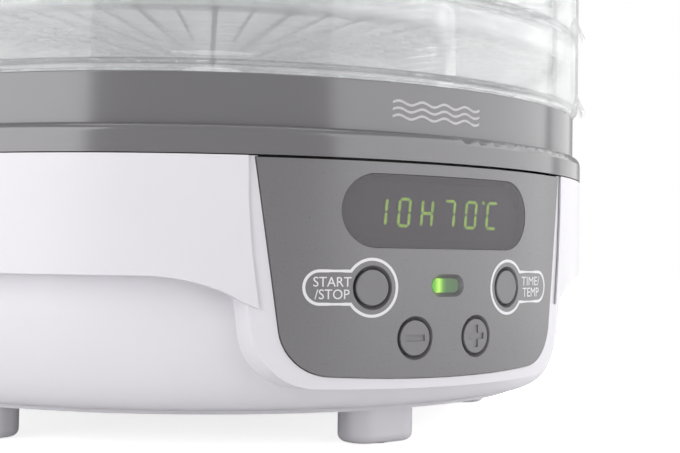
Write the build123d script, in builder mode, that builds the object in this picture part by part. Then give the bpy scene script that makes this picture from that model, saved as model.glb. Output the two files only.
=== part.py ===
"""Round counter-top dryer: a fan-heater base with a digital control panel, five clear stacking trays
and a vented lid.  Millimetres, +Z up, the control panel faces -Y, and z = 0 is the table that the feet
stand on.  Heights named *_Z are above the table."""

import os
from math import cos, radians, sin, sqrt

from build123d import *

os.makedirs("parts", exist_ok=True)

# ---------------------------------------------------------------- driving dimensions
TRAY_COUNT = 5
TRAY_PITCH = 30.0           # height that one tray adds to the stack
FOOT_HEIGHT = 13.5

RING_R = 160.0              # collar that carries the first tray
FLANGE_R = 163.2            # widest part of the base: flange of the top cover and the white band
TRAY_R = 162.0              # outside of a tray's wall
POD_R = 162.2               # front of the white frame round the control panel
PANEL_R = 162.9             # front of the control panel
WALL = 2.5                  # moulded wall thickness of the base

BASE_Z = FOOT_HEIGHT        # underside of the bottom cover
BAND_LOW_Z = BASE_Z + 47.5  # lower edge of the white band
SEAM_Z = BASE_Z + 86.8      # seam between the white housing and the grey top cover
SEAM_GAP = 0.4
SHOULDER_Z = BASE_Z + 97.0  # top of the grey flange
SHOULDER_ROUND = FLANGE_R - RING_R
COLLAR_Z = BASE_Z + 113.9   # top edge of the grey collar, where the first tray rests
DECK_Z = BASE_Z + 98.5      # top of the deck inside the collar
DECK_T = 2.5
DECK_HOLE_R = 56.0

BOTTOM_R = 136.5            # bottom cover
BOTTOM_T = 2.4

# control panel, as seen from the front
PANEL_TOP_HALF = 68.9
PANEL_LOW_HALF = 59.3
PANEL_LOW_Z = BASE_Z + 16.2
PANEL_SAG_Z = BASE_Z + 13.8
PANEL_CORNER = 17.0
PANEL_T = 2.4
POD_TOP_HALF = 77.0
POD_LOW_HALF = 66.6
POD_LOW_Z = BASE_Z + 11.8
POD_SAG_Z = BASE_Z + 9.8
POD_CORNER = 21.0
POD_DRAFT = 3.0             # degrees
POD_SKETCH_Y = 110.0
POD_DRAFT_GROWTH = 2.2      # what the draft adds between the pod's face and its sketch plane

LENS_WIDTH, LENS_HEIGHT, LENS_Z = 83.8, 25.0, BASE_Z + 70.0
DISPLAY_WIDTH, DISPLAY_HEIGHT, DISPLAY_DEPTH, DISPLAY_SHIFT = 64.0, 19.0, 9.4, 1.5
LED_WIDTH, LED_HEIGHT, LED_Z = 12.2, 5.0, BASE_Z + 45.0
BUTTON_R = 6.0
BUTTON_HOLE_R = 6.5
BUTTON_DISH_R = 7.5
BUTTON_DISH_DEPTH = 1.8
BUTTON_RECESS = 0.1         # how far a cap lies below the panel's face
SIGN_LENGTH, SIGN_WIDTH = 7.8, 2.2
BUTTONS = {                 # name: (degrees round the axis from the front, height, engraved sign)
    "start_stop_button": (-10.8, BASE_Z + 44.3, ""),
    "time_temp_button": (10.8, BASE_Z + 44.3, ""),
    "minus_button": (-4.85, BASE_Z + 27.3, "-"),
    "plus_button": (4.85, BASE_Z + 27.3, "+"),
}

BOARD_Y = -146.0            # front face of the control board
BOARD_HALF, BOARD_LOW_Z, BOARD_HIGH_Z, BOARD_T = 54.0, BASE_Z + 24.0, BASE_Z + 81.0, 1.6
BOARD_BOSSES = [(x, z) for x in (-49.5, 49.5) for z in (BASE_Z + 30.0, BASE_Z + 76.0)]
SWITCH_H = 4.3

# trays: heights are above the plane where the tray rests on what is below it
TRAY_WALL = 1.8
NEST_R = 157.2              # outside of the skirt that sits in the collar or in the tray below
NEST_DEPTH = 9.0
BEAD_R = 160.3              # rounded bead that rests on the collar or on the tray below
BEAD_H = 2.6
SHELF_R = 157.6             # inside of the collar, and of the shelf at a tray's top
MESH_R = 155.2
MESH_T = 2.0
MESH_LEDGE_R = 151.5
MESH_HUB_R = 18.0
MESH_RINGS = 6
MESH_SPOKES = 24
TAB_DEGREES = 11.0          # width of a finger tab
TAB_TURN, TAB_SHIFT = 42.0, 2.0     # where the tabs stand, and how the trays alternate
TAB_R = 165.0
REST_GAP = 0.1              # clearance between parts that rest on each other

# fan and heater
DUCT_R = 52.0
DUCT_T = 0.8
MOTOR_R = 17.5
SHAFT_R = 2.0
BRACKET_Z = BASE_Z + 12.0
BRACKET_T = 2.5
MOTOR_TOP_Z = BASE_Z + 44.0
FAN_LOW_Z, FAN_HIGH_Z = BASE_Z + 48.0, BASE_Z + 62.0
FAN_HUB_R, FAN_TIP_R = 15.0, 47.0
FAN_BLADES = 7
HEATER_Z = BASE_Z + 76.0
COIL_RADII = [15.0, 22.0, 29.0, 36.0, 43.0]
COIL_WIRE_R = 1.6

FOOT_COUNT = 5
FOOT_RADIUS = 123.0         # from the axis to the foot's middle
FOOT_WIDTH, FOOT_DEPTH, FOOT_CORNER = 29.0, 18.0, 8.0
PAD_T = 1.0

BOTTOM_ALIGN = (Align.CENTER, Align.CENTER, Align.MIN)


# ---------------------------------------------------------------- helpers
def save(builder, name):
    """Label a finished piece and write its STEP file."""
    builder.part.label = name
    export_step(builder.part, f"parts/{name}.step")


def ring(profile):
    """Solid of revolution of a closed (radius, height) outline."""
    with BuildPart() as body:
        with BuildSketch(Plane.XZ):
            with BuildLine():
                Polyline(*profile, close=True)
            make_face()
        revolve(axis=Axis.Z)
    return body.part


def front_face(top_half, top_z, low_half, low_z, sag_z, corner, grow=0.0):
    """Front view of the panel or its frame: straight sloping sides, rounded lower corners, bowed base."""
    with BuildSketch() as face:
        with BuildLine():
            Line((low_half, low_z), (top_half, top_z))
            Line((top_half, top_z), (-top_half, top_z))
            Line((-top_half, top_z), (-low_half, low_z))
            ThreePointArc((-low_half, low_z), (0, sag_z), (low_half, low_z))
        make_face()
        fillet(face.vertices().group_by(Axis.Y)[0], corner)
        if grow:
            offset(amount=grow)
    return face.sketch_local


def panel_face(grow=0.0):
    return front_face(PANEL_TOP_HALF, SEAM_Z - 0.5, PANEL_LOW_HALF, PANEL_LOW_Z, PANEL_SAG_Z,
                      PANEL_CORNER, grow)


def pod_face(grow=0.0):
    rise = 30.0             # the frame runs up past the seam, and is trimmed there
    slope = (POD_TOP_HALF - POD_LOW_HALF) / (SEAM_Z - POD_LOW_Z)
    return front_face(POD_TOP_HALF + slope * rise, SEAM_Z + rise, POD_LOW_HALF, POD_LOW_Z, POD_SAG_Z,
                      POD_CORNER, grow)


def curved_plate(face, inner_r, outer_r):
    """A front-view outline bent round the dryer's axis, between two radii."""
    with BuildPart() as plate:
        Cylinder(outer_r, 200, align=BOTTOM_ALIGN)
        if inner_r:
            Cylinder(inner_r, 200, align=BOTTOM_ALIGN, mode=Mode.SUBTRACT)
        with BuildSketch(Plane.XZ.offset(40)):
            add(face)
        extrude(amount=140, mode=Mode.INTERSECT)
    return plate.part


def pod_block(grow, outer_r):
    """The drafted block that carries the panel, from inside the bowl out to a radius."""
    with BuildPart() as block:
        with BuildSketch(Plane.XZ.offset(POD_SKETCH_Y)):
            add(pod_face(POD_DRAFT_GROWTH + grow))
        extrude(amount=60, taper=POD_DRAFT)
        with Locations((0, 0, BASE_Z)):
            Cylinder(outer_r, SEAM_Z - BASE_Z, align=BOTTOM_ALIGN, mode=Mode.INTERSECT)
    return block.part


def radial_plane(degrees, radius, height):
    """Plane on the dryer's side, facing outwards: local x runs round the side and local y runs up."""
    a = radians(degrees)
    return Plane(origin=(radius * sin(a), -radius * cos(a), height), x_dir=(cos(a), sin(a), 0),
                 z_dir=(sin(a), -cos(a), 0))


def pill(width, height, grow=0.0):
    with BuildSketch() as face:
        SlotOverall(width + 2 * grow, height + 2 * grow)
    return face.sketch_local


def at_height(face, z):
    """A front-view outline moved up to a height."""
    return Pos(0, z, 0) * face


# ---------------------------------------------------------------- white lower housing
with BuildPart() as lower_housing:
    with BuildSketch(Plane.XZ):
        with BuildLine():
            Polyline((118, BASE_Z + BOTTOM_T + WALL), (118, BASE_Z + BOTTOM_T), (137, BASE_Z + BOTTOM_T),
                     (137, BASE_Z + 1.6), (138.6, BASE_Z + 1.6))
            Bezier((138.6, BASE_Z + 1.6), (150.5, BASE_Z + 2.0), (153.8, BASE_Z + 12), (155, BASE_Z + 34))
            Polyline((155, BASE_Z + 34), (156, SEAM_Z), (156 - WALL, SEAM_Z), (155 - WALL, BASE_Z + 34))
            Bezier((155 - WALL, BASE_Z + 34), (151.2, BASE_Z + 13), (147, BASE_Z + 5.4),
                   (138, BASE_Z + BOTTOM_T + WALL))
            Line((138, BASE_Z + BOTTOM_T + WALL), (118, BASE_Z + BOTTOM_T + WALL))
        make_face()
    revolve(axis=Axis.Z)
    add(pod_block(0, POD_R))
    # hollow behind the frame, pocket and opening for the panel
    add(pod_block(-WALL, POD_R - 4.5), mode=Mode.SUBTRACT)
    add(curved_plate(panel_face(0.3), POD_R - 2.0, POD_R + 5), mode=Mode.SUBTRACT)
    add(curved_plate(panel_face(-3.0), 140, POD_R + 5), mode=Mode.SUBTRACT)
    # the panel's pocket is open at the top, under the grey flange
    with Locations((0, -POD_R, SEAM_Z)):
        Box(2 * PANEL_TOP_HALF - 1, 40, 10, mode=Mode.SUBTRACT)
    # round hole for the cord grommet, at the back
    with BuildSketch(Plane.XZ.offset(-140)):
        with Locations((0, BASE_Z + 24)):
            Circle(7)
    extrude(amount=-30, mode=Mode.SUBTRACT)
save(lower_housing, "lower_housing")

# ---------------------------------------------------------------- white band
BAND_TIP = [(67.7, 37.2), (70.8, 38.6), (76.6, 42.0), (84.7, 45.2), (99.0, 47.6)]
BAND_END = [(71.6, 90.0), (71.3, 71.6), (70.0, 55.0), (67.7, 37.0)]


def band_flare(side):
    """The part of the band that dips towards the panel's frame, on one side."""
    with BuildSketch() as face:
        with BuildLine():
            points = [(side * x, BASE_Z + z) for x, z in BAND_TIP]
            Spline(*points)
            Polyline(points[-1], (side * 99, BASE_Z + 52), (side * 67.7, BASE_Z + 52), points[0])
        make_face()
    return face.sketch_local


def band_opening():
    """The part of the front that the band leaves open for the panel and its frame."""
    right = [(x, BASE_Z + z) for x, z in BAND_END]
    left = [(-x, z) for x, z in reversed(right)]
    with BuildSketch() as face:
        with BuildLine():
            Polyline(*right, (67.7, BASE_Z + 20), (-67.7, BASE_Z + 20), *left, close=True)
        make_face()
    return face.sketch_local


BAND_IN_R = FLANGE_R - WALL
with BuildPart() as upper_band:
    add(ring([(FLANGE_R, BAND_LOW_Z), (FLANGE_R, SEAM_Z), (BAND_IN_R, SEAM_Z), (BAND_IN_R, BAND_LOW_Z + 2.5),
              (155.8, BAND_LOW_Z + 2.5), (155.8, BAND_LOW_Z)]))
    add(curved_plate(band_flare(-1), BAND_IN_R, FLANGE_R))
    add(curved_plate(band_flare(1), BAND_IN_R, FLANGE_R))
    add(curved_plate(band_opening(), 100, FLANGE_R + 5), mode=Mode.SUBTRACT)
    add(pod_block(0.15, POD_R + 0.15), mode=Mode.SUBTRACT)
save(upper_band, "upper_band")

# ---------------------------------------------------------------- grey top cover and its grille
with BuildPart() as top_cover:
    with BuildSketch(Plane.XZ):
        with BuildLine():
            Line((FLANGE_R, SEAM_Z + SEAM_GAP), (FLANGE_R, SHOULDER_Z - SHOULDER_ROUND))
            RadiusArc((FLANGE_R, SHOULDER_Z - SHOULDER_ROUND), (RING_R, SHOULDER_Z), -SHOULDER_ROUND)
            Polyline((RING_R, SHOULDER_Z),
                     (RING_R, COLLAR_Z), (RING_R - 2.4, COLLAR_Z), (RING_R - 2.4, DECK_Z),
                     (DECK_HOLE_R, DECK_Z), (DECK_HOLE_R, DECK_Z - DECK_T),
                     (150.6, DECK_Z - DECK_T), (150.6, SEAM_Z - 7), (153.1, SEAM_Z - 7),
                     (153.1, DECK_Z - DECK_T), (BAND_IN_R, DECK_Z - DECK_T),
                     (BAND_IN_R, SEAM_Z + SEAM_GAP), (FLANGE_R, SEAM_Z + SEAM_GAP))
        make_face()
    revolve(axis=Axis.Z)
    fillet(top_cover.edges().filter_by(GeomType.CIRCLE).filter_by(
        lambda e: abs(e.radius - RING_R) < 0.01 and abs(e.center().Z - COLLAR_Z) < 0.01), 0.6)
    # the locating rib stops either side of the control board
    with Locations((0, -145, SEAM_Z - 4)):
        Box(176, 70, 8, mode=Mode.SUBTRACT)
    # hole for the temperature sensor
    with Locations((78, 0, DECK_Z)):
        Hole(3.0, depth=10)
save(top_cover, "top_cover")

with BuildPart() as air_grille:
    with BuildSketch(Plane.XY.offset(DECK_Z + REST_GAP)):
        Circle(62)
        with PolarLocations(36, 24):
            SlotOverall(34, 4.2, mode=Mode.SUBTRACT)
    extrude(amount=2.0)
    with BuildSketch(Plane.XY.offset(DECK_Z - 5)):
        Circle(DECK_HOLE_R - 0.3)
        Circle(DECK_HOLE_R - 1.8, mode=Mode.SUBTRACT)
    extrude(amount=5 + 2 * REST_GAP)
save(air_grille, "air_grille")

# ---------------------------------------------------------------- bottom cover, feet and pads
SCREW_CIRCLE_R = 127.0
SCREW_COUNT = 5
SCREW_HEAD_R, SCREW_HEAD_T = 2.9, 1.2
with BuildPart() as bottom_cover:
    with BuildSketch(Plane.XY.offset(BASE_Z)):
        Circle(BOTTOM_R)
        for slot_r, count in ((20, 8), (32, 14), (44, 20)):
            with PolarLocations(slot_r, count):
                SlotOverall(9.5, 3.0, rotation=90, mode=Mode.SUBTRACT)
        with PolarLocations(SCREW_CIRCLE_R, SCREW_COUNT, start_angle=-90 + 36):
            Circle(1.8, mode=Mode.SUBTRACT)
    extrude(amount=BOTTOM_T)
    with BuildSketch(Plane.XY.offset(BASE_Z)):
        with PolarLocations(SCREW_CIRCLE_R, SCREW_COUNT, start_angle=-90 + 36):
            Circle(SCREW_HEAD_R + 0.3)
    extrude(amount=SCREW_HEAD_T + 0.1, mode=Mode.SUBTRACT)
save(bottom_cover, "bottom_cover")

for index in range(FOOT_COUNT):
    angle = 360.0 * index / FOOT_COUNT
    with BuildPart() as foot:
        with BuildSketch(radial_plane(angle, FOOT_RADIUS - FOOT_DEPTH / 2, 0)):
            with Locations((0, (FOOT_HEIGHT + PAD_T * 0.5) / 2)):
                Rectangle(FOOT_WIDTH, FOOT_HEIGHT - PAD_T * 0.5)
        extrude(amount=FOOT_DEPTH)
        fillet(foot.edges().filter_by(Axis.Z), FOOT_CORNER)
        fillet(foot.faces().sort_by(Axis.Z)[0].edges(), 3.0)
    save(foot, f"foot_{index + 1}")

with BuildPart() as foot_pads:
    for index in range(FOOT_COUNT):
        pad = radial_plane(360.0 * index / FOOT_COUNT, FOOT_RADIUS, PAD_T * 0.5)
        with BuildSketch(Plane(origin=(pad.origin.X, pad.origin.Y, 0))):
            Circle(4.5)
        extrude(amount=PAD_T * 0.5)
save(foot_pads, "foot_pads")

with BuildPart() as bottom_screws:
    with BuildSketch(Plane.XY.offset(BASE_Z)):
        with PolarLocations(SCREW_CIRCLE_R, SCREW_COUNT, start_angle=-90 + 36):
            Circle(SCREW_HEAD_R)
    extrude(amount=SCREW_HEAD_T)
    with BuildSketch(Plane.XY.offset(BASE_Z + SCREW_HEAD_T)):
        with PolarLocations(SCREW_CIRCLE_R, SCREW_COUNT, start_angle=-90 + 36):
            Circle(1.4)
    extrude(amount=BOTTOM_T - SCREW_HEAD_T)
save(bottom_screws, "bottom_cover_screws")

# ---------------------------------------------------------------- control panel
with BuildPart() as control_panel:
    add(curved_plate(panel_face(), PANEL_R - PANEL_T, PANEL_R))
    add(curved_plate(at_height(pill(LENS_WIDTH, LENS_HEIGHT), LENS_Z), 140, PANEL_R + 5),
        mode=Mode.SUBTRACT)
    add(curved_plate(at_height(pill(LED_WIDTH, LED_HEIGHT), LED_Z), 140, PANEL_R + 5),
        mode=Mode.SUBTRACT)
    with BuildSketch(Plane.XZ.offset(PANEL_R)):
        add(at_height(pill(LED_WIDTH, LED_HEIGHT, 1.4), LED_Z))
    extrude(amount=-1.6, taper=38, mode=Mode.SUBTRACT)
    for degrees, height, _ in BUTTONS.values():
        with BuildSketch(radial_plane(degrees, PANEL_R - 5, height)):
            Circle(BUTTON_HOLE_R)
        extrude(amount=8, mode=Mode.SUBTRACT)
        with BuildSketch(radial_plane(degrees, PANEL_R + 0.1, height)):
            Circle(BUTTON_DISH_R)
        extrude(amount=-BUTTON_DISH_DEPTH - 0.1, taper=30, mode=Mode.SUBTRACT)
    for x, z in BOARD_BOSSES:
        boss_front = sqrt((PANEL_R - PANEL_T) ** 2 - x * x) + 0.6
        with BuildSketch(Plane.XZ.offset(-BOARD_Y)):
            with Locations((x, z)):
                Circle(3.2)
                Circle(1.3, mode=Mode.SUBTRACT)
        extrude(amount=boss_front + BOARD_Y)
save(control_panel, "control_panel")

with BuildPart() as display_lens:
    add(curved_plate(at_height(pill(LENS_WIDTH, LENS_HEIGHT, -0.15), LENS_Z), PANEL_R - 2.7, PANEL_R - 0.15))
    add(curved_plate(at_height(pill(LENS_WIDTH, LENS_HEIGHT, 1.6), LENS_Z), PANEL_R - 3.6,
                     PANEL_R - PANEL_T - REST_GAP))
save(display_lens, "display_lens")

with BuildPart() as light_pipe:
    add(curved_plate(at_height(pill(LED_WIDTH, LED_HEIGHT, -0.15), LED_Z), PANEL_R - 2.7, PANEL_R - 1.3))
    add(curved_plate(at_height(pill(LED_WIDTH, LED_HEIGHT, 1.2), LED_Z), PANEL_R - 4.2,
                     PANEL_R - PANEL_T - REST_GAP))
save(light_pipe, "indicator_light_pipe")

# ---------------------------------------------------------------- buttons and their switches
SWITCH_FACE_Y = BOARD_Y - SWITCH_H
with BuildPart() as tactile_switches:
    for degrees, height, _ in BUTTONS.values():
        switch_x = -SWITCH_FACE_Y * sin(radians(degrees)) / cos(radians(degrees))
        with BuildSketch(Plane.XZ.offset(-BOARD_Y)):
            with Locations((switch_x, height)):
                Rectangle(6.2, 6.2)
        extrude(amount=SWITCH_H)
        with BuildSketch(Plane.XZ.offset(-SWITCH_FACE_Y - 2.4)):
            with Locations((switch_x, height)):
                Circle(2.3)
        extrude(amount=3, mode=Mode.SUBTRACT)
save(tactile_switches, "tactile_switches")

for name, (degrees, height, sign) in BUTTONS.items():
    switch_r = -SWITCH_FACE_Y / cos(radians(degrees))
    tip_r = switch_r - 0.6
    face_r = PANEL_R - BUTTON_RECESS
    flange_out_r = PANEL_R - PANEL_T - 0.35
    with BuildPart() as button:
        with BuildSketch(radial_plane(degrees, flange_out_r, height)):
            Circle(BUTTON_R)
        extrude(amount=face_r - flange_out_r)
        fillet(button.edges().filter_by(GeomType.CIRCLE).group_by(Axis.Y)[0], 0.35)
        with BuildSketch(radial_plane(degrees, flange_out_r - 1.2, height)):
            Circle(BUTTON_R + 1.5)
        extrude(amount=1.2)
        with BuildSketch(radial_plane(degrees, tip_r, height)):
            Circle(1.5)
        extrude(amount=flange_out_r - 0.6 - tip_r)
        if sign:
            with BuildSketch(radial_plane(degrees, face_r + 0.5, height)):
                Rectangle(SIGN_LENGTH, SIGN_WIDTH)
                if sign == "+":
                    Rectangle(SIGN_WIDTH, SIGN_LENGTH)
            extrude(amount=-1.0, mode=Mode.SUBTRACT)
    save(button, name)

# ---------------------------------------------------------------- control board
with BuildPart() as control_board:
    with BuildSketch(Plane.XZ.offset(-BOARD_Y)):
        with Locations((0, (BOARD_LOW_Z + BOARD_HIGH_Z) / 2)):
            Rectangle(2 * BOARD_HALF, BOARD_HIGH_Z - BOARD_LOW_Z)
        for x, z in BOARD_BOSSES:
            with Locations((x, z)):
                Circle(1.7, mode=Mode.SUBTRACT)
    extrude(amount=-BOARD_T)
save(control_board, "control_board")

with BuildPart() as board_screws:
    for x, z in BOARD_BOSSES:
        with BuildSketch(Plane.XZ.offset(-BOARD_Y - BOARD_T)):
            with Locations((x, z)):
                Circle(2.6)
        extrude(amount=-1.8)
        with BuildSketch(Plane.XZ.offset(-BOARD_Y - BOARD_T)):
            with Locations((x, z)):
                Circle(1.2)
        extrude(amount=5.5)
save(board_screws, "control_board_screws")

with BuildPart() as display_module:
    with BuildSketch(Plane.XZ.offset(-BOARD_Y)):
        with Locations((DISPLAY_SHIFT, LENS_Z)):
            Rectangle(DISPLAY_WIDTH, DISPLAY_HEIGHT)
    extrude(amount=DISPLAY_DEPTH)
save(display_module, "display_module")

with BuildPart() as indicator_leds:
    for x in (-3.0, 3.0):
        with BuildSketch(Plane.XZ.offset(-BOARD_Y)):
            with Locations((x, LED_Z)):
                Circle(1.5)
        extrude(amount=9.5)
save(indicator_leds, "indicator_leds")

# ---------------------------------------------------------------- fan, motor and duct
with BuildPart() as duct:
    with BuildSketch(Plane.XY.offset(BASE_Z + BOTTOM_T + REST_GAP)):
        Circle(DUCT_R + DUCT_T)
        Circle(DUCT_R, mode=Mode.SUBTRACT)
    extrude(amount=DECK_Z - DECK_T - BASE_Z - BOTTOM_T - 3.2)
save(duct, "heat_duct")

with BuildPart() as motor_bracket:
    with BuildSketch(Plane.XY.offset(BRACKET_Z)):
        Circle(DUCT_R - 0.2)
        Circle(DUCT_R - 4, mode=Mode.SUBTRACT)
        Circle(20)
        with PolarLocations(34, 3, start_angle=90):
            Rectangle(32, 9)
        Circle(4, mode=Mode.SUBTRACT)
    extrude(amount=BRACKET_T)
save(motor_bracket, "motor_bracket")

with BuildPart() as fan_motor:
    with BuildSketch(Plane.XY.offset(BRACKET_Z + BRACKET_T)):
        Circle(MOTOR_R)
    extrude(amount=MOTOR_TOP_Z - 3 - BRACKET_Z - BRACKET_T)
    fillet(fan_motor.edges().filter_by(GeomType.CIRCLE), 1.5)
    with BuildSketch(Plane.XY.offset(MOTOR_TOP_Z - 3.2)):
        Circle(6)
    extrude(amount=3.2)
    with BuildSketch(Plane.XY.offset(MOTOR_TOP_Z - 16)):
        Circle(SHAFT_R + 0.05)
    extrude(amount=20, mode=Mode.SUBTRACT)
save(fan_motor, "fan_motor")

with BuildPart() as motor_shaft:
    with BuildSketch(Plane.XY.offset(MOTOR_TOP_Z - 14)):
        Circle(SHAFT_R)
    extrude(amount=FAN_HIGH_Z - 2 - MOTOR_TOP_Z + 14)
save(motor_shaft, "motor_shaft")

with BuildPart() as motor_screws:
    for x in (-12.5, 12.5):
        with BuildSketch(Plane.XY.offset(BRACKET_Z - 2)):
            with Locations((x, 0)):
                Circle(2.6)
        extrude(amount=2)
save(motor_screws, "motor_screws")

with BuildPart() as impeller:
    with BuildSketch(Plane.XY.offset(FAN_LOW_Z)):
        Circle(FAN_HUB_R)
    extrude(amount=FAN_HIGH_Z - FAN_LOW_Z)
    fillet(impeller.edges().group_by(Axis.Z)[-1], 2)
    blade_middle = (FAN_LOW_Z + FAN_HIGH_Z) / 2
    for index in range(FAN_BLADES):
        turn = 360.0 * index / FAN_BLADES
        with BuildSketch(Plane(origin=(0, 0, blade_middle),
                               x_dir=(-sin(radians(turn)), cos(radians(turn)), 0),
                               z_dir=(cos(radians(turn)), sin(radians(turn)), 0)).offset(FAN_HUB_R - 2)):
            Rectangle(19, 1.6, rotation=32)
        extrude(amount=FAN_TIP_R - FAN_HUB_R + 2)
    with BuildSketch(Plane.XY.offset(FAN_LOW_Z - 1)):
        Circle(SHAFT_R)
    extrude(amount=FAN_HIGH_Z - 2 - FAN_LOW_Z + 1, mode=Mode.SUBTRACT)
save(impeller, "fan_impeller")

# ---------------------------------------------------------------- heater
with BuildPart() as heater_frame:
    for turn in (0, 90):
        with BuildSketch(Plane.XZ.rotated((0, 0, turn)).offset(-0.6)):
            with Locations((0, HEATER_Z)):
                Rectangle(2 * (DUCT_R - 0.2), 13)
        extrude(amount=1.2)
    for coil_r in COIL_RADII:
        with BuildSketch(Plane.XZ):
            with Locations((coil_r, HEATER_Z)):
                Circle(COIL_WIRE_R + 0.1)
        revolve(axis=Axis.Z, mode=Mode.SUBTRACT)
save(heater_frame, "heater_frame")

with BuildPart() as heater_coil:
    with BuildSketch(Plane.XZ):
        for coil_r in COIL_RADII:
            with Locations((coil_r, HEATER_Z)):
                Circle(COIL_WIRE_R)
    revolve(axis=Axis.Z)
save(heater_coil, "heater_coil")

with BuildPart() as thermal_cutout:
    with BuildSketch(Plane.YZ.offset(DUCT_R + DUCT_T + 0.1)):
        with Locations((0, HEATER_Z)):
            Circle(8)
    extrude(amount=9)
save(thermal_cutout, "thermal_cutout")

with BuildPart() as thermal_fuse:
    with BuildSketch(Plane.XY.offset(HEATER_Z - 7)):
        with Locations((-DUCT_R - DUCT_T - 2.6, 0)):
            Circle(2.2)
    extrude(amount=14)
save(thermal_fuse, "thermal_fuse")

with BuildPart() as sensor:
    with BuildSketch(Plane.XY.offset(DECK_Z - 12)):
        with Locations((78, 0)):
            Circle(2.6)
    extrude(amount=14)
    fillet(sensor.edges().group_by(Axis.Z)[-1], 1.5)
save(sensor, "temperature_sensor")

# ---------------------------------------------------------------- power board
POWER_Z = BASE_Z + BOTTOM_T + 8.0
POWER_CENTRE_Y = 84.0
POWER_HOLES = [(x, POWER_CENTRE_Y + y) for x in (-43, 43) for y in (-19, 19)]
with BuildPart() as power_board:
    with BuildSketch(Plane.XY.offset(POWER_Z)):
        with Locations((0, POWER_CENTRE_Y)):
            Rectangle(96, 48)
        with Locations(*POWER_HOLES):
            Circle(1.7, mode=Mode.SUBTRACT)
    extrude(amount=1.6)
save(power_board, "power_board")

with BuildPart() as standoffs:
    with BuildSketch(Plane.XY.offset(BASE_Z + BOTTOM_T)):
        with Locations(*POWER_HOLES):
            Circle(3.5)
    extrude(amount=POWER_Z - BASE_Z - BOTTOM_T)
    with BuildSketch(Plane.XY.offset(BASE_Z + BOTTOM_T + 2)):
        with Locations(*POWER_HOLES):
            Circle(1.4)
    extrude(amount=POWER_Z, mode=Mode.SUBTRACT)
save(standoffs, "board_standoffs")

with BuildPart() as power_screws:
    with BuildSketch(Plane.XY.offset(POWER_Z + 1.6)):
        with Locations(*POWER_HOLES):
            Circle(2.8)
    extrude(amount=1.8)
    with BuildSketch(Plane.XY.offset(POWER_Z - 4)):
        with Locations(*POWER_HOLES):
            Circle(1.3)
    extrude(amount=5.8)
save(power_screws, "power_board_screws")

POWER_TOP_Z = POWER_Z + 1.6
with BuildPart() as relay:
    with Locations((-24, POWER_CENTRE_Y + 3, POWER_TOP_Z)):
        Box(19, 15.5, 15.5, align=BOTTOM_ALIGN)
    fillet(relay.edges().filter_by(Axis.Z), 0.8)
save(relay, "relay")

with BuildPart() as capacitor:
    with Locations((4, POWER_CENTRE_Y + 4, POWER_TOP_Z)):
        Cylinder(6.5, 20, align=BOTTOM_ALIGN)
    fillet(capacitor.edges().group_by(Axis.Z)[-1], 0.8)
save(capacitor, "filter_capacitor")

with BuildPart() as terminal_block:
    with Locations((27, POWER_CENTRE_Y + 2, POWER_TOP_Z)):
        Box(12, 30, 12, align=BOTTOM_ALIGN)
    with BuildSketch(Plane.XY.offset(POWER_TOP_Z + 12)):
        with Locations((27, POWER_CENTRE_Y + 2)):
            with GridLocations(1, 9, 1, 3):
                Circle(2.4)
    extrude(amount=-5, mode=Mode.SUBTRACT)
save(terminal_block, "terminal_block")

# ---------------------------------------------------------------- cord grommet, at the back
GROMMET_Z = BASE_Z + 24.0
with BuildPart() as grommet:
    add(Location((0, 0, GROMMET_Z)) * Rotation(-90, 0, 0) * ring(
        [(3.6, 147.0), (9.0, 147.0), (9.0, 149.6), (6.6, 149.6), (6.6, 156.6), (9.5, 156.6),
         (9.5, 158.6), (6.4, 162.4), (3.6, 162.4)]))
save(grommet, "cord_grommet")


# ---------------------------------------------------------------- trays
def annular_gap(inner_r, outer_r, centre_angle, half_angle):
    """One opening of a tray's mesh: a piece of a ring."""
    a0, a1 = radians(centre_angle - half_angle), radians(centre_angle + half_angle)
    am = radians(centre_angle)
    return ([(inner_r * cos(a), inner_r * sin(a)) for a in (a0, am, a1)],
            [(outer_r * cos(a), outer_r * sin(a)) for a in (a1, am, a0)])


MESH_BAR = 2.0
RIM_BAND = 3.6
with BuildSketch() as mesh_face:
    Circle(MESH_R)
    Circle(MESH_HUB_R - 3, mode=Mode.SUBTRACT)
    ring_step = (MESH_R - RIM_BAND - MESH_HUB_R) / MESH_RINGS
    for ring_index in range(MESH_RINGS):
        inner = MESH_HUB_R + ring_step * ring_index + MESH_BAR / 2
        outer = inner + ring_step - MESH_BAR
        spokes = MESH_SPOKES if inner > 60 else MESH_SPOKES // 2
        pitch = 360.0 / spokes
        bar_half = MESH_BAR / 2 / ((inner + outer) / 2) * 57.2958
        inner_arc, outer_arc = annular_gap(inner, outer, 0, pitch / 2 - bar_half)
        with BuildLine(mode=Mode.PRIVATE) as gap_edges:
            low = ThreePointArc(*inner_arc)
            Line(inner_arc[2], outer_arc[0])
            high = ThreePointArc(*outer_arc)
            Line(outer_arc[2], inner_arc[0])
        gap = make_face(gap_edges.edges(), mode=Mode.PRIVATE)
        with PolarLocations(0, spokes, start_angle=pitch / 2):
            add(gap, mode=Mode.SUBTRACT)

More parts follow.
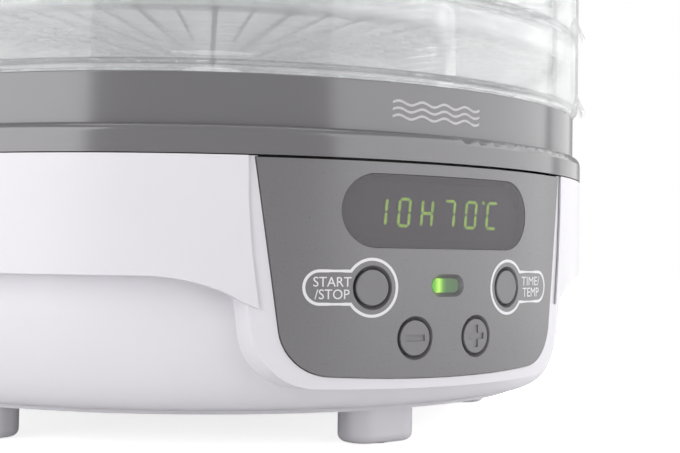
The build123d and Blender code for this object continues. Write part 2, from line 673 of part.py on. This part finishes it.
bead_profile = [(NEST_R, REST_GAP), (BEAD_R - 0.8, REST_GAP), (BEAD_R, 0.8), (BEAD_R, BEAD_H)]
tray_rim_profile = bead_profile + [
    (TRAY_R, BEAD_H + 0.7), (TRAY_R, TRAY_PITCH), (SHELF_R, TRAY_PITCH), (SHELF_R, TRAY_PITCH - 1.8),
    (TRAY_R - TRAY_WALL, TRAY_PITCH - 2.4), (TRAY_R - TRAY_WALL, BEAD_H + 1.6), (NEST_R, BEAD_H),
    (NEST_R - 1.6, BEAD_H), (NEST_R - 1.6, -NEST_DEPTH + 1.2), (MESH_LEDGE_R, -NEST_DEPTH + 1.2),
    (MESH_LEDGE_R, -NEST_DEPTH), (NEST_R, -NEST_DEPTH)]
tab_profile = [(TRAY_R - 0.9, 8.6), (TRAY_R - 0.9, 9.6), (TRAY_R, 9.6), (TAB_R, 3.2), (TAB_R, BEAD_H),
               (TAB_R - 0.8, BEAD_H), (TRAY_R, 7.8)]

for index in range(1, TRAY_COUNT + 1):
    rest_z = COLLAR_Z + TRAY_PITCH * (index - 1)
    with BuildPart() as rim:
        add(ring([(r, rest_z + z) for r, z in tray_rim_profile]))
        # finger tabs: two short pieces of a flared lip, on opposite sides
        turn = TAB_TURN + (TAB_SHIFT if index % 2 else -TAB_SHIFT)
        for side in (-90, 90):
            with BuildSketch(Plane.XZ.rotated((0, 0, turn + side - TAB_DEGREES / 2))):
                with BuildLine():
                    Polyline(*[(r, rest_z + z) for r, z in tab_profile], close=True)
                make_face()
            revolve(axis=Axis.Z, revolution_arc=TAB_DEGREES)
    save(rim, f"tray_{index}_rim")
    with BuildPart() as mesh:
        with BuildSketch(Plane.XY.offset(rest_z - NEST_DEPTH + 1.3)):
            add(mesh_face.sketch_local)
        extrude(amount=MESH_T)
    save(mesh, f"tray_{index}_mesh")

# ---------------------------------------------------------------- lid
LID_Z = COLLAR_Z + TRAY_PITCH * TRAY_COUNT
LID_H = 11.0
with BuildPart() as lid:
    lid_profile = bead_profile + [
        (TRAY_R, BEAD_H + 0.7), (TRAY_R, 7), (TRAY_R - 0.8, 8.6), (TRAY_R - 3, 9.6), (150, LID_H), (0, LID_H + 3),
        (0, LID_H + 1), (149.8, LID_H - 2), (TRAY_R - 4.2, 7.6), (TRAY_R - 3, 6), (TRAY_R - 3, BEAD_H + 1.6),
        (NEST_R, BEAD_H), (NEST_R - 1.6, BEAD_H), (NEST_R - 1.6, -5), (NEST_R, -5)]
    add(ring([(r, LID_Z + z) for r, z in lid_profile]))
    with BuildSketch(Plane.XY.offset(LID_Z)):
        for slot_r, count in ((62, 16), (92, 24)):
            with PolarLocations(slot_r, count):
                SlotOverall(18, 3.4, mode=Mode.ADD)
    extrude(amount=30, mode=Mode.SUBTRACT)
    # moulded grip
    with BuildSketch(Plane.XY.offset(LID_Z + LID_H + 1.2)):
        SlotOverall(86, 22)
        SlotOverall(80, 16, mode=Mode.SUBTRACT)
        Rectangle(70, 3)
    extrude(amount=14)
    fillet(lid.faces().sort_by(Axis.Z)[-1].outer_wire().edges(), 1.2)
save(lid, "lid")
print("written", len(os.listdir("parts")), "files")
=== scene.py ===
"""Looks of the stacking tray dryer: materials for the CAD parts, the printed legends, the lit display,
the fine mesh floors of the clear trays, a studio and the camera.  Metres, +Z up, the panel faces -Y."""

from math import asin, atan2, cos, degrees, pi, radians, sin

import bmesh
import bpy
from mathutils import Matrix, Vector


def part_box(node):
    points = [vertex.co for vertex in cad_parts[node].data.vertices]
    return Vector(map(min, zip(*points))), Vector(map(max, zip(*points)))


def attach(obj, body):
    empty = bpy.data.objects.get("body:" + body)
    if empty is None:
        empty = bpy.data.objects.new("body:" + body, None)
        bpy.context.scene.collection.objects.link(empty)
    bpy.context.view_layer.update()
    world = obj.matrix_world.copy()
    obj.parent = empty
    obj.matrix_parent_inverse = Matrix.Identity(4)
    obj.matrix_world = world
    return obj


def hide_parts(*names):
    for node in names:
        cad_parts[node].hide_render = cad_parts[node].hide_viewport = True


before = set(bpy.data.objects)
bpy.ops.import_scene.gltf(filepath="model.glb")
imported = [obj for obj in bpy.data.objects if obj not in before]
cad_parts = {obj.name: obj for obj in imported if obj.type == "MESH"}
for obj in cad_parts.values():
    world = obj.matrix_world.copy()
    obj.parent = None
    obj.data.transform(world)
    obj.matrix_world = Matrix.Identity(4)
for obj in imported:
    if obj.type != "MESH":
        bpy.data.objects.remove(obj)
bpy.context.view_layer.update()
TRAYS = 5
MM = 0.001

PANEL_LOW, PANEL_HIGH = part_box("control_panel")
PANEL_R = -PANEL_LOW[1]
BASE_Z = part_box("bottom_cover")[0][2]
COLLAR_R = 160.0 * MM
SKIN = 0.05 * MM             # thickness of print
PRINT_GAP = SKIN * 0.2       # air between print and plastic
LONGEST_FLAT = 3.2 * MM      # longer edges are cut up before a plate is bent


# ---------------------------------------------------------------- materials
def new_material(name):
    material = bpy.data.materials.new(name)
    material.use_nodes = True
    return material, material.node_tree, material.node_tree.nodes["Principled BSDF"]


def node(tree, kind, **values):
    made = tree.nodes.new(kind)
    for key, value in values.items():
        if key in made.inputs:
            made.inputs[key].default_value = value
        else:
            setattr(made, key, value)
    return made


def ramp(tree, source, stops):
    """Colour ramp from a 0 to 1 source; stops are (position, grey or colour)."""
    made = node(tree, "ShaderNodeValToRGB")
    elements = made.color_ramp.elements
    while len(elements) < len(stops):
        elements.new(0.5)
    for element, (place, colour) in zip(elements, stops):
        element.position = place
        element.color = (*colour, 1) if isinstance(colour, tuple) else (colour, colour, colour, 1)
    tree.links.new(source, made.inputs["Fac"])
    return made.outputs["Color"]


def plastic(name, colour, roughness, spread=0.04, grain=0.12, grain_size=0.35, gloss=0.5):
    """Moulded plastic: a faint flow mottling in colour and gloss, and a fine spark-eroded texture."""
    material, tree, shader = new_material(name)
    where = node(tree, "ShaderNodeTexCoord")
    flow = node(tree, "ShaderNodeTexNoise", Scale=22.0, Detail=3.0)
    grit = node(tree, "ShaderNodeTexNoise", Scale=1.0 / (grain_size * MM), Detail=2.0)
    for texture in (flow, grit):
        tree.links.new(where.outputs["Object"], texture.inputs["Vector"])
    dark = tuple(c * (1 - spread) for c in colour)
    light = tuple(min(1, c * (1 + spread)) for c in colour)
    tree.links.new(ramp(tree, flow.outputs["Fac"], [(0.3, dark), (0.7, light)]), shader.inputs["Base Color"])
    tree.links.new(ramp(tree, grit.outputs["Fac"], [(0.25, roughness * 0.88), (0.75, roughness * 1.12)]),
                   shader.inputs["Roughness"])
    bump = node(tree, "ShaderNodeBump", Strength=grain, Distance=0.02 * MM)
    tree.links.new(grit.outputs["Fac"], bump.inputs["Height"])
    tree.links.new(bump.outputs["Normal"], shader.inputs["Normal"])
    shader.inputs["Specular IOR Level"].default_value = gloss
    return material


def metal(name, colour, roughness, streak_axis=2):
    """Rolled or turned metal: streaks along one axis in brightness and gloss."""
    material, tree, shader = new_material(name)
    where = node(tree, "ShaderNodeTexCoord")
    squeeze = node(tree, "ShaderNodeMapping")
    stretch = [900.0, 900.0, 900.0]
    stretch[streak_axis] = 25.0
    squeeze.inputs["Scale"].default_value = stretch
    streaks = node(tree, "ShaderNodeTexNoise", Scale=1.0, Detail=4.0)
    tree.links.new(where.outputs["Object"], squeeze.inputs["Vector"])
    tree.links.new(squeeze.outputs["Vector"], streaks.inputs["Vector"])
    dark = tuple(c * 0.82 for c in colour)
    tree.links.new(ramp(tree, streaks.outputs["Fac"], [(0.3, dark), (0.7, colour)]),
                   shader.inputs["Base Color"])
    tree.links.new(ramp(tree, streaks.outputs["Fac"], [(0.2, roughness * 1.3), (0.8, roughness * 0.75)]),
                   shader.inputs["Roughness"])
    shader.inputs["Metallic"].default_value = 1.0
    return material


def clear_plastic(name, tint, roughness, clarity, solid, bend=1.45):
    """Clear injection-moulded plastic with faint flow marks; what isn't clear in it is a milky haze."""
    material, tree, shader = new_material(name)
    where = node(tree, "ShaderNodeTexCoord")
    flow = node(tree, "ShaderNodeTexNoise", Scale=35.0, Detail=3.0, Distortion=0.6)
    tree.links.new(where.outputs["Object"], flow.inputs["Vector"])
    tree.links.new(ramp(tree, flow.outputs["Fac"], [(0.35, roughness * 0.6), (0.7, roughness * 1.5)]),
                   shader.inputs["Roughness"])
    bump = node(tree, "ShaderNodeBump", Strength=0.10, Distance=0.05 * MM)
    tree.links.new(flow.outputs["Fac"], bump.inputs["Height"])
    tree.links.new(bump.outputs["Normal"], shader.inputs["Normal"])
    shader.inputs["Base Color"].default_value = (*tint, 1)
    shader.inputs["Transmission Weight"].default_value = clarity
    shader.inputs["IOR"].default_value = bend
    shader.inputs["Alpha"].default_value = solid
    return material


def glow(name, colour, strength, base=(0.05, 0.08, 0.03)):
    """A lit diffuser, a little uneven in brightness, like a moulded light bar."""
    material, tree, shader = new_material(name)
    where = node(tree, "ShaderNodeTexCoord")
    cloud = node(tree, "ShaderNodeTexNoise", Scale=700.0, Detail=1.0)
    tree.links.new(where.outputs["Object"], cloud.inputs["Vector"])
    dim = tuple(c * 0.6 for c in colour)
    tree.links.new(ramp(tree, cloud.outputs["Fac"], [(0.3, dim), (0.65, colour)]),
                   shader.inputs["Emission Color"])
    shader.inputs["Emission Strength"].default_value = strength
    shader.inputs["Base Color"].default_value = (*base, 1)
    shader.inputs["Roughness"].default_value = 0.4
    return material


def paint(material, *names):
    """Gives CAD nodes a material."""
    for name in names:
        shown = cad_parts[name]
        shown.data.materials.clear()
        shown.data.materials.append(material)


WHITE = (0.69, 0.676, 0.71)
GREY = (0.135, 0.130, 0.138)
white_shell = plastic("white_shell_plastic", WHITE, 0.34, spread=0.01, grain=0.05)
grey_cover = plastic("grey_cover_plastic", GREY, 0.16, spread=0.02, grain=0.03, gloss=1.0)
grey_panel = plastic("grey_panel_plastic", GREY, 0.30, spread=0.02, grain=0.06, gloss=1.0)
button_grey = plastic("button_plastic", (0.185, 0.18, 0.19), 0.38, spread=0.02, grain=0.2)
black_plastic = plastic("black_plastic", (0.018, 0.018, 0.02), 0.4)
module_face = plastic("display_module_face", (0.03, 0.029, 0.031), 0.5, grain=0.0)
rubber = plastic("soft_rubber", (0.02, 0.02, 0.021), 0.75, grain=0.5)
mica = plastic("mica_board", (0.42, 0.33, 0.22), 0.55, spread=0.25)
board_green = plastic("solder_mask", (0.015, 0.10, 0.04), 0.32, spread=0.12)
relay_blue = plastic("relay_case", (0.02, 0.06, 0.25), 0.3)
zinc = metal("zinc_plated_steel", (0.62, 0.62, 0.60), 0.35)
duct_metal = metal("duct_sheet", (0.75, 0.76, 0.77), 0.28)
heater_wire = metal("heater_wire", (0.42, 0.38, 0.35), 0.42)
tray_clear = clear_plastic("clear_tray_plastic", (0.955, 0.965, 0.97), 0.06, 0.90, 0.50)
floor_clear = clear_plastic("clear_floor_plastic", (0.95, 0.955, 0.96), 0.15, 0.35, 0.42, bend=1.38)
print_white = plastic("printed_ink", (0.72, 0.71, 0.74), 0.5, spread=0.02)
mark_ink = plastic("printed_mark", (0.50, 0.49, 0.51), 0.5, spread=0.02)

paint(white_shell, "lower_housing", "upper_band", "bottom_cover", "board_standoffs",
      *[f"foot_{i}" for i in range(1, 6)])
paint(grey_cover, "top_cover", "air_grille")
paint(grey_panel, "control_panel")
paint(button_grey, "start_stop_button", "time_temp_button", "minus_button", "plus_button")
paint(module_face, "display_module")
paint(black_plastic, "tactile_switches", "fan_impeller", "thermal_cutout", "filter_capacitor")
paint(rubber, "cord_grommet", "foot_pads")
paint(mica, "heater_frame")
paint(board_green, "control_board", "power_board")
paint(relay_blue, "relay", "terminal_block")
paint(zinc, "control_board_screws", "motor_bracket", "fan_motor", "motor_shaft", "motor_screws",
      "power_board_screws", "bottom_cover_screws")
paint(duct_metal, "heat_duct", "thermal_fuse", "temperature_sensor")
paint(heater_wire, "heater_coil")
paint(tray_clear, "lid", *[f"tray_{i}_rim" for i in range(1, TRAYS + 1)])


def smoked_window():
    """Smoked display window: dark see-through plastic with a polished face."""
    material, tree, shader = new_material("smoked_window")
    where = node(tree, "ShaderNodeTexCoord")
    haze = node(tree, "ShaderNodeTexNoise", Scale=60.0, Detail=3.0)
    tree.links.new(where.outputs["Object"], haze.inputs["Vector"])
    tree.links.new(ramp(tree, haze.outputs["Fac"], [(0.3, 0.30), (0.7, 0.36)]), shader.inputs["Roughness"])
    shader.inputs["Base Color"].default_value = (0.18, 0.172, 0.183, 1)
    shader.inputs["Alpha"].default_value = 0.62
    shader.inputs["Specular IOR Level"].default_value = 0.08
    return material


paint(smoked_window(), "display_lens")


def indicator():
    """Indicator diffuser: its left half is lit by the running lamp, its right half is idle."""
    material, tree, shader = new_material("indicator_diffuser")
    where = node(tree, "ShaderNodeTexCoord")
    split = node(tree, "ShaderNodeSeparateXYZ")
    tree.links.new(where.outputs["Object"], split.inputs["Vector"])
    reach = node(tree, "ShaderNodeMapRange")
    reach.inputs["From Min"].default_value = -5.0 * MM
    reach.inputs["From Max"].default_value = 4.0 * MM
    tree.links.new(split.outputs["X"], reach.inputs["Value"])
    lit = ramp(tree, reach.outputs["Result"], [(0.0, (0.10, 0.42, 0.01)), (0.22, (0.55, 0.95, 0.10)),
                                              (0.42, (0.08, 0.28, 0.01)), (0.58, (0.03, 0.07, 0.02)),
                                              (1.0, (0.02, 0.04, 0.02))])
    tree.links.new(lit, shader.inputs["Emission Color"])
    shader.inputs["Emission Strength"].default_value = 0.9
    shader.inputs["Base Color"].default_value = (0.07, 0.13, 0.06, 1)
    shader.inputs["Roughness"].default_value = 0.18
    return material


paint(indicator(), "indicator_light_pipe", "indicator_leds")


# ---------------------------------------------------------------- geometry helpers
def on_side(across, height, radius):
    """Point on the dryer's side: arc length from the front's middle, height, radius."""
    turn = across / radius
    return (radius * sin(turn), -radius * cos(turn), height)


def piece(name, shape, material, body):
    """Turns a finished bmesh into an object that rides a body."""
    mesh = bpy.data.meshes.new(name)
    shape.to_mesh(mesh)
    shape.free()
    made = bpy.data.objects.new(name, mesh)
    bpy.context.scene.collection.objects.link(made)
    made.data.materials.append(material)
    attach(made, body)
    return made


def plate_from_outline(name, outlines, thickness, to_space, material, body):
    """Thin raised plate from flat outlines, bent by to_space(x, y, lift).  The first outline is the
    outside, and the others are holes."""
    shape = bmesh.new()
    loops = []
    for outline in outlines:
        made = [shape.verts.new((x, y, 0)) for x, y in outline]
        loops.append([shape.edges.new((a, b)) for a, b in zip(made, made[1:] + made[:1])])
    bmesh.ops.triangle_fill(shape, use_beauty=True, edges=[e for loop in loops for e in loop])
    bmesh.ops.recalc_face_normals(shape, faces=shape.faces)
    if sum(f.normal.z for f in shape.faces) < 0:
        bmesh.ops.reverse_faces(shape, faces=shape.faces)
    long_edges = [e for e in shape.edges if not e.is_boundary and e.calc_length() > LONGEST_FLAT]
    if long_edges:
        bmesh.ops.subdivide_edges(shape, edges=long_edges, cuts=2)
        bmesh.ops.triangulate(shape, faces=shape.faces)
    grown = bmesh.ops.extrude_face_region(shape, geom=list(shape.faces))
    for vert in [v for v in grown["geom"] if isinstance(v, bmesh.types.BMVert)]:
        vert.co.z = thickness
    bmesh.ops.recalc_face_normals(shape, faces=shape.faces)
    for vert in shape.verts:
        vert.co = to_space(*vert.co)
    return piece(name, shape, material, body)


def arc(cx, cy, radius, start, end, steps):
    """Points along an arc, in degrees."""
    return [(cx + radius * cos(radians(start + (end - start) * k / steps)),
             cy + radius * sin(radians(start + (end - start) * k / steps))) for k in range(steps + 1)]


# ---------------------------------------------------------------- print on the panel
def on_panel(x, y, lift):
    return on_side(x, y, PANEL_R + PRINT_GAP + lift)


def legend_outline(side, ring_x, ring_z, ring_r, bar_half, end_x):
    """Outline of a ring round a button joined to a pill-shaped box, on one side."""
    meet = degrees(asin(bar_half / ring_r))
    end_centre = end_x - bar_half
    ring_part = arc(ring_x, ring_z, ring_r, meet, 360 - meet, 96)
    end_part = arc(end_centre, ring_z, bar_half, -90, 90, 32)
    points = ring_part + end_part
    if side < 0:
        points = [(2 * ring_x - x, z) for x, z in reversed(points)]
    return points


RING_R, BAR_HALF, LINE = 9.95 * MM, 5.95 * MM, 1.0 * MM
for name, side, reach in (("start_stop", -1, 24.6), ("time_temp", 1, 27.4)):
    low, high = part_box(f"{name}_button")
    centre = (low + high) / 2 if isinstance(low, Vector) else Vector([(a + b) / 2 for a, b in zip(low, high)])
    ring_x = atan2(centre[0], -centre[1]) * PANEL_R
    ring_z = centre[2]
    outer = legend_outline(side, ring_x, ring_z, RING_R, BAR_HALF, ring_x + reach * MM)
    inner = legend_outline(side, ring_x, ring_z, RING_R - LINE, BAR_HALF - LINE, ring_x + reach * MM - LINE)
    plate_from_outline(f"{name}_legend_line", [outer, inner], SKIN, on_panel, print_white, "base")


def lettering(name, words, left, right, middle, height, to_space, material, body):
    """Words fitted between two places, thickened and bent onto a surface."""
    curve = bpy.data.curves.new(name, "FONT")
    curve.body = words
    curve.size = 1.0
    curve.resolution_u = 4
    text = bpy.data.objects.new(name + "_text", curve)
    bpy.context.scene.collection.objects.link(text)
    bpy.context.view_layer.update()
    flat = bpy.data.meshes.new_from_object(text.evaluated_get(bpy.context.evaluated_depsgraph_get()))
    bpy.data.objects.remove(text)
    bpy.data.curves.remove(curve)
    xs = [v.co.x for v in flat.vertices]
    ys = [v.co.y for v in flat.vertices]
    shape = bmesh.new()
    shape.from_mesh(flat)
    bpy.data.meshes.remove(flat)
    bmesh.ops.remove_doubles(shape, verts=shape.verts, dist=1e-5)
    grown = bmesh.ops.extrude_face_region(shape, geom=list(shape.faces))
    raised = {v for v in grown["geom"] if isinstance(v, bmesh.types.BMVert)}
    for vert in shape.verts:
        x = left + (vert.co.x - min(xs)) / (max(xs) - min(xs)) * (right - left)
        y = middle + ((vert.co.y - min(ys)) / (max(ys) - min(ys)) - 0.5) * height
        vert.co = to_space(x, y, SKIN if vert in raised else 0.0)
    bmesh.ops.recalc_face_normals(shape, faces=shape.faces)
    return piece(name, shape, material, body)


LETTER_H = 3.25 * MM
for name, words, left, right, middle in (
        ("legend_start", "START", -51.9, -38.6, 46.2), ("legend_stop", "/STOP", -51.4, -39.2, 42.1),
        ("legend_time", "TIME/", 40.2, 53.6, 46.4), ("legend_temp", "TEMP", 41.0, 53.2, 42.3)):
    lettering(name, words, left * MM, right * MM, BASE_Z + middle * MM, LETTER_H, on_panel, print_white,
              "base")

# ---------------------------------------------------------------- generic mark on the collar
def on_collar(x, y, lift):
    return on_side(x, y, COLLAR_R + PRINT_GAP + lift)


MARK_LEFT, MARK_RIGHT, MARK_Z, WAVES = -22.0 * MM, 17.0 * MM, BASE_Z + 104.6 * MM, 3
for index in range(WAVES):
    z = MARK_Z + (index - 1) * 2.4 * MM
    steps = 72
    swing, half = 0.65 * MM, 0.42 * MM
    line = [(MARK_LEFT + (MARK_RIGHT - MARK_LEFT) * k / steps,
             z + swing * sin(2 * pi * 4 * k / steps)) for k in range(steps + 1)]
    outline = [(x, y - half) for x, y in line] + [(x, y + half) for x, y in reversed(line)]
    plate_from_outline(f"airflow_mark_{index + 1}", [outline], SKIN, on_collar, mark_ink, "base")

# ---------------------------------------------------------------- seven-segment display
module_low, module_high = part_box("display_module")
FACE_Y = module_low[1]
DIGIT_W, DIGIT_H, DIGIT_PITCH, SLANT = 5.6 * MM, 10.2 * MM, 10.2 * MM, 0.10
BAR = 1.05 * MM              # width of a segment
BAR_T = 0.15 * MM            # its thickness
BAR_GAP = 0.02 * MM          # air between it and the module's face
SEGMENTS = {"a": "h", "b": "v", "c": "v", "d": "h", "e": "v", "f": "v", "g": "h"}
LIT = ["bc", "abcdef", "bcefg", "abc", "abcdef", "adef"]
segment_lit = glow("segment_lit", (0.45, 0.80, 0.04), 3.0)
segment_idle = plastic("segment_idle", (0.10, 0.098, 0.105), 0.5)


def segment_shape(letter):
    """Pointed bar of one segment, in the digit's own square frame."""
    half_w, half_h = (DIGIT_W - BAR) / 2, (DIGIT_H - BAR) / 2
    gap, b = 0.18 * MM, BAR / 2
    places = {"a": (0, half_h), "g": (0, 0), "d": (0, -half_h), "b": (half_w, half_h / 2),
              "c": (half_w, -half_h / 2), "f": (-half_w, half_h / 2), "e": (-half_w, -half_h / 2)}
    x, y = places[letter]
    if SEGMENTS[letter] == "h":
        reach = half_w - gap
        return [(x - reach, y), (x - reach + b, y - b), (x + reach - b, y - b), (x + reach, y),
                (x + reach - b, y + b), (x - reach + b, y + b)]
    reach = half_h / 2 - gap
    return [(x, y - reach), (x + b, y - reach + b), (x + b, y + reach - b), (x, y + reach),
            (x - b, y + reach - b), (x - b, y - reach + b)]


digits_middle = 1.5 * MM
digit_z = BASE_Z + 69.9 * MM
for index, lit in enumerate(LIT):
    x0 = digits_middle + (index - 2.5) * DIGIT_PITCH
    for letter in "abcdefg":
        name = f"digit_{index + 1}_segment_{letter}"
        on = letter in lit
        if not on and index > 0:
            continue
        plate_from_outline(name, [segment_shape(letter)], BAR_T,
                           lambda x, y, lift: (x0 + x + SLANT * y, FACE_Y - lift - BAR_GAP, digit_z + y),
                           segment_lit if on else segment_idle, "base")
dot_x = digits_middle + 2.5 * DIGIT_PITCH - DIGIT_W / 2 - 1.4 * MM
plate_from_outline("degree_dot", [arc(0, 0, 0.6 * MM, 0, 345, 23)], BAR_T,
                   lambda x, y, lift: (dot_x + x, FACE_Y - lift - BAR_GAP, digit_z + DIGIT_H / 2 - BAR / 2 + y),
                   segment_lit, "base")

# ---------------------------------------------------------------- fine mesh floors of the trays
MESH_OUT, MESH_HUB = 151.0 * MM, 15.0 * MM
RIBS = 72


def bar_between(shape, a, b, width, low, high):
    """Straight bar with a slightly crowned top between two points of the floor."""
    along = (b - a).normalized()
    side = Vector((-along.y, along.x, 0)) * width / 2
    up_low, up_mid, up_high = [Vector((0, 0, z)) for z in (low, high - (high - low) * 0.35, high)]
    rings = []
    for p in (a, b):
        rings.append([shape.verts.new(p + side + up_low), shape.verts.new(p + side + up_mid),
                      shape.verts.new(p + side * 0.45 + up_high), shape.verts.new(p - side * 0.45 + up_high),
                      shape.verts.new(p - side + up_mid), shape.verts.new(p - side + up_low)])
    count = len(rings[0])
    for k in range(count):
        shape.faces.new((rings[0][k], rings[1][k], rings[1][(k + 1) % count], rings[0][(k + 1) % count]))
    shape.faces.new(list(reversed(rings[0])))
    shape.faces.new(rings[1])


def hoop(shape, radius, width, low, high, steps=144):
    """Round rib of the floor."""
    section = [(-width / 2, low), (width / 2, low), (width / 2, high - 0.3 * MM), (width * 0.2, high),
               (-width * 0.2, high), (-width / 2, high - 0.3 * MM)]
    rings = []
    for k in range(steps):
        a = 2 * pi * k / steps
        rings.append([shape.verts.new(((radius + r) * cos(a), (radius + r) * sin(a), z)) for r, z in section])
    for k in range(steps):
        here, there = rings[k], rings[(k + 1) % steps]
        for j in range(len(section)):
            n = (j + 1) % len(section)
            shape.faces.new((here[j], here[n], there[n], there[j]))


def boss(shape, centre, radius, low, high, steps=16):
    """Small round boss where a rib meets the wall."""
    bottom = [shape.verts.new((centre[0] + radius * cos(2 * pi * k / steps),
                               centre[1] + radius * sin(2 * pi * k / steps), low)) for k in range(steps)]
    middle = [shape.verts.new((v.co.x, v.co.y, high - 0.6 * MM)) for v in bottom]
    top = [shape.verts.new((centre[0] + (v.co.x - centre[0]) * 0.7,
                            centre[1] + (v.co.y - centre[1]) * 0.7, high)) for v in bottom]
    for lower, upper in ((bottom, middle), (middle, top)):
        for k in range(steps):
            n = (k + 1) % steps
            shape.faces.new((lower[k], lower[n], upper[n], upper[k]))
    shape.faces.new(list(reversed(bottom)))
    shape.faces.new(top)


def mesh_floor():
    """One tray floor at z = 0: ribs that run to the middle, round ribs between them, bosses at the wall."""
    shape = bmesh.new()
    high = 1.9 * MM
    for k in range(RIBS):
        a = 2 * pi * k / RIBS
        out = Vector((cos(a), sin(a), 0))
        start = MESH_HUB if k % 4 == 0 else (42 * MM if k % 2 == 0 else 84 * MM)
        bar_between(shape, out * start, out * MESH_OUT, 1.9 * MM if k % 2 == 0 else 1.3 * MM, 0.1 * MM, high)
        if k % 2 == 0:
            boss(shape, out * (MESH_OUT - 1.5 * MM), 2.6 * MM, 0, high + 0.5 * MM)
    radius = MESH_HUB
    while radius < MESH_OUT + 1 * MM:
        hoop(shape, radius, 1.3 * MM, 0.3 * MM, high - 0.3 * MM)
        radius += 6.8 * MM
    hoop(shape, 153.3 * MM, 3.6 * MM, 0.0, high)
    bmesh.ops.recalc_face_normals(shape, faces=shape.faces)
    mesh = bpy.data.meshes.new("tray_floor")
    shape.to_mesh(mesh)
    shape.free()
    return mesh


floor_mesh = mesh_floor()
for index in range(1, TRAYS + 1):
    made = bpy.data.objects.new(f"tray_{index}_fine_mesh", floor_mesh.copy())
    bpy.context.scene.collection.objects.link(made)
    made.data.transform(Matrix.Translation((0, 0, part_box(f"tray_{index}_mesh")[0][2])))
    made.data.materials.append(floor_clear)
    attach(made, f"tray_{index}")
    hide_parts(f"tray_{index}_mesh")

# ---------------------------------------------------------------- studio
DISTANCE = 569.8 * MM
CAMERA_SIDE = radians(-30.3)
CAMERA_Z = BASE_Z + 55.0 * MM


def camera_turn(pan, tilt, roll):
    """Camera axes in the dryer's frame: columns are right, forward and up."""
    return (Matrix.Rotation(pan, 3, "Z") @ Matrix.Rotation(tilt, 3, "X") @ Matrix.Rotation(roll, 3, "Y"))


turn = camera_turn(CAMERA_SIDE + radians(-5.912), radians(1.294), radians(-0.825))
right, forward, up = turn.col[0], turn.col[1], turn.col[2]
camera = bpy.data.objects.new("camera", bpy.data.cameras.new("camera"))
camera.data.sensor_width = 36.0
camera.data.lens = 66.85
camera.data.clip_start = 0.01
camera.matrix_world = Matrix(((right.x, up.x, -forward.x, DISTANCE * sin(CAMERA_SIDE)),
                              (right.y, up.y, -forward.y, -DISTANCE * cos(CAMERA_SIDE)),
                              (right.z, up.z, -forward.z, CAMERA_Z), (0, 0, 0, 1)))
bpy.context.scene.collection.objects.link(camera)
bpy.context.scene.camera = camera

floor_material = plastic("studio_floor", (0.93, 0.93, 0.93), 0.6, spread=0.005, grain=0.02)
floor_data = bpy.data.meshes.new("studio_floor")
floor_data.from_pydata([(-4, -4, 0), (4, -4, 0), (4, 4, 0), (-4, 4, 0)], [], [(0, 1, 2, 3)])
floor = bpy.data.objects.new("studio_floor", floor_data)
floor_tree = floor_material.node_tree
floor_shader = floor_tree.nodes["Principled BSDF"]
floor_seen = node(floor_tree, "ShaderNodeLightPath")
floor_level = node(floor_tree, "ShaderNodeMapRange")
floor_level.inputs["To Max"].default_value = 0.8
floor_tree.links.new(floor_seen.outputs["Is Camera Ray"], floor_level.inputs["Value"])
floor_tree.links.new(floor_level.outputs["Result"], floor_shader.inputs["Emission Strength"])
floor_shader.inputs["Emission Color"].default_value = (1, 1, 1, 1)
floor.data.materials.append(floor_material)
bpy.context.scene.collection.objects.link(floor)

ROOM_LIGHT = 0.48            # what the pale room gives; the camera sees it as white
world = bpy.data.worlds.new("studio")
world.use_nodes = True
world.node_tree.nodes["Background"].inputs["Color"].default_value = (1, 1, 1, 1)
seen = node(world.node_tree, "ShaderNodeLightPath")
either = node(world.node_tree, "ShaderNodeMath", operation="MAXIMUM")
world.node_tree.links.new(seen.outputs["Is Camera Ray"], either.inputs[0])
world.node_tree.links.new(seen.outputs["Is Transmission Ray"], either.inputs[1])
level = node(world.node_tree, "ShaderNodeMapRange")
level.inputs["To Min"].default_value = ROOM_LIGHT
level.inputs["To Max"].default_value = 1.0
world.node_tree.links.new(either.outputs["Value"], level.inputs["Value"])
world.node_tree.links.new(level.outputs["Result"], world.node_tree.nodes["Background"].inputs["Strength"])
bpy.context.scene.world = world


def softbox(name, angle, distance, height, size, power):
    """Area lamp that stands round the dryer at an angle from the camera's own side, and faces the axis."""
    data = bpy.data.lights.new(name, "AREA")
    data.shape = "RECTANGLE"
    data.size, data.size_y = size
    data.energy = power
    lamp = bpy.data.objects.new(name, data)
    a = CAMERA_SIDE + radians(angle)
    lamp.location = (distance * sin(a), -distance * cos(a), height)
    aim = Vector((0, 0, 0.12)) - lamp.location
    lamp.rotation_euler = aim.to_track_quat("-Z", "Y").to_euler()
    bpy.context.scene.collection.objects.link(lamp)


softbox("left_softbox", -53, 1.1, 0.35, (0.90, 1.2), 8.4)
softbox("right_softbox", 74, 1.1, 0.35, (2.0, 1.2), 11.8)
softbox("rim_softbox", 130, 1.1, 0.35, (0.45, 1.2), 1.5)
softbox("top_softbox", 180, 0.5, 1.8, (1.6, 1.6), 17)

bpy.context.scene.view_settings.view_transform = "Standard"
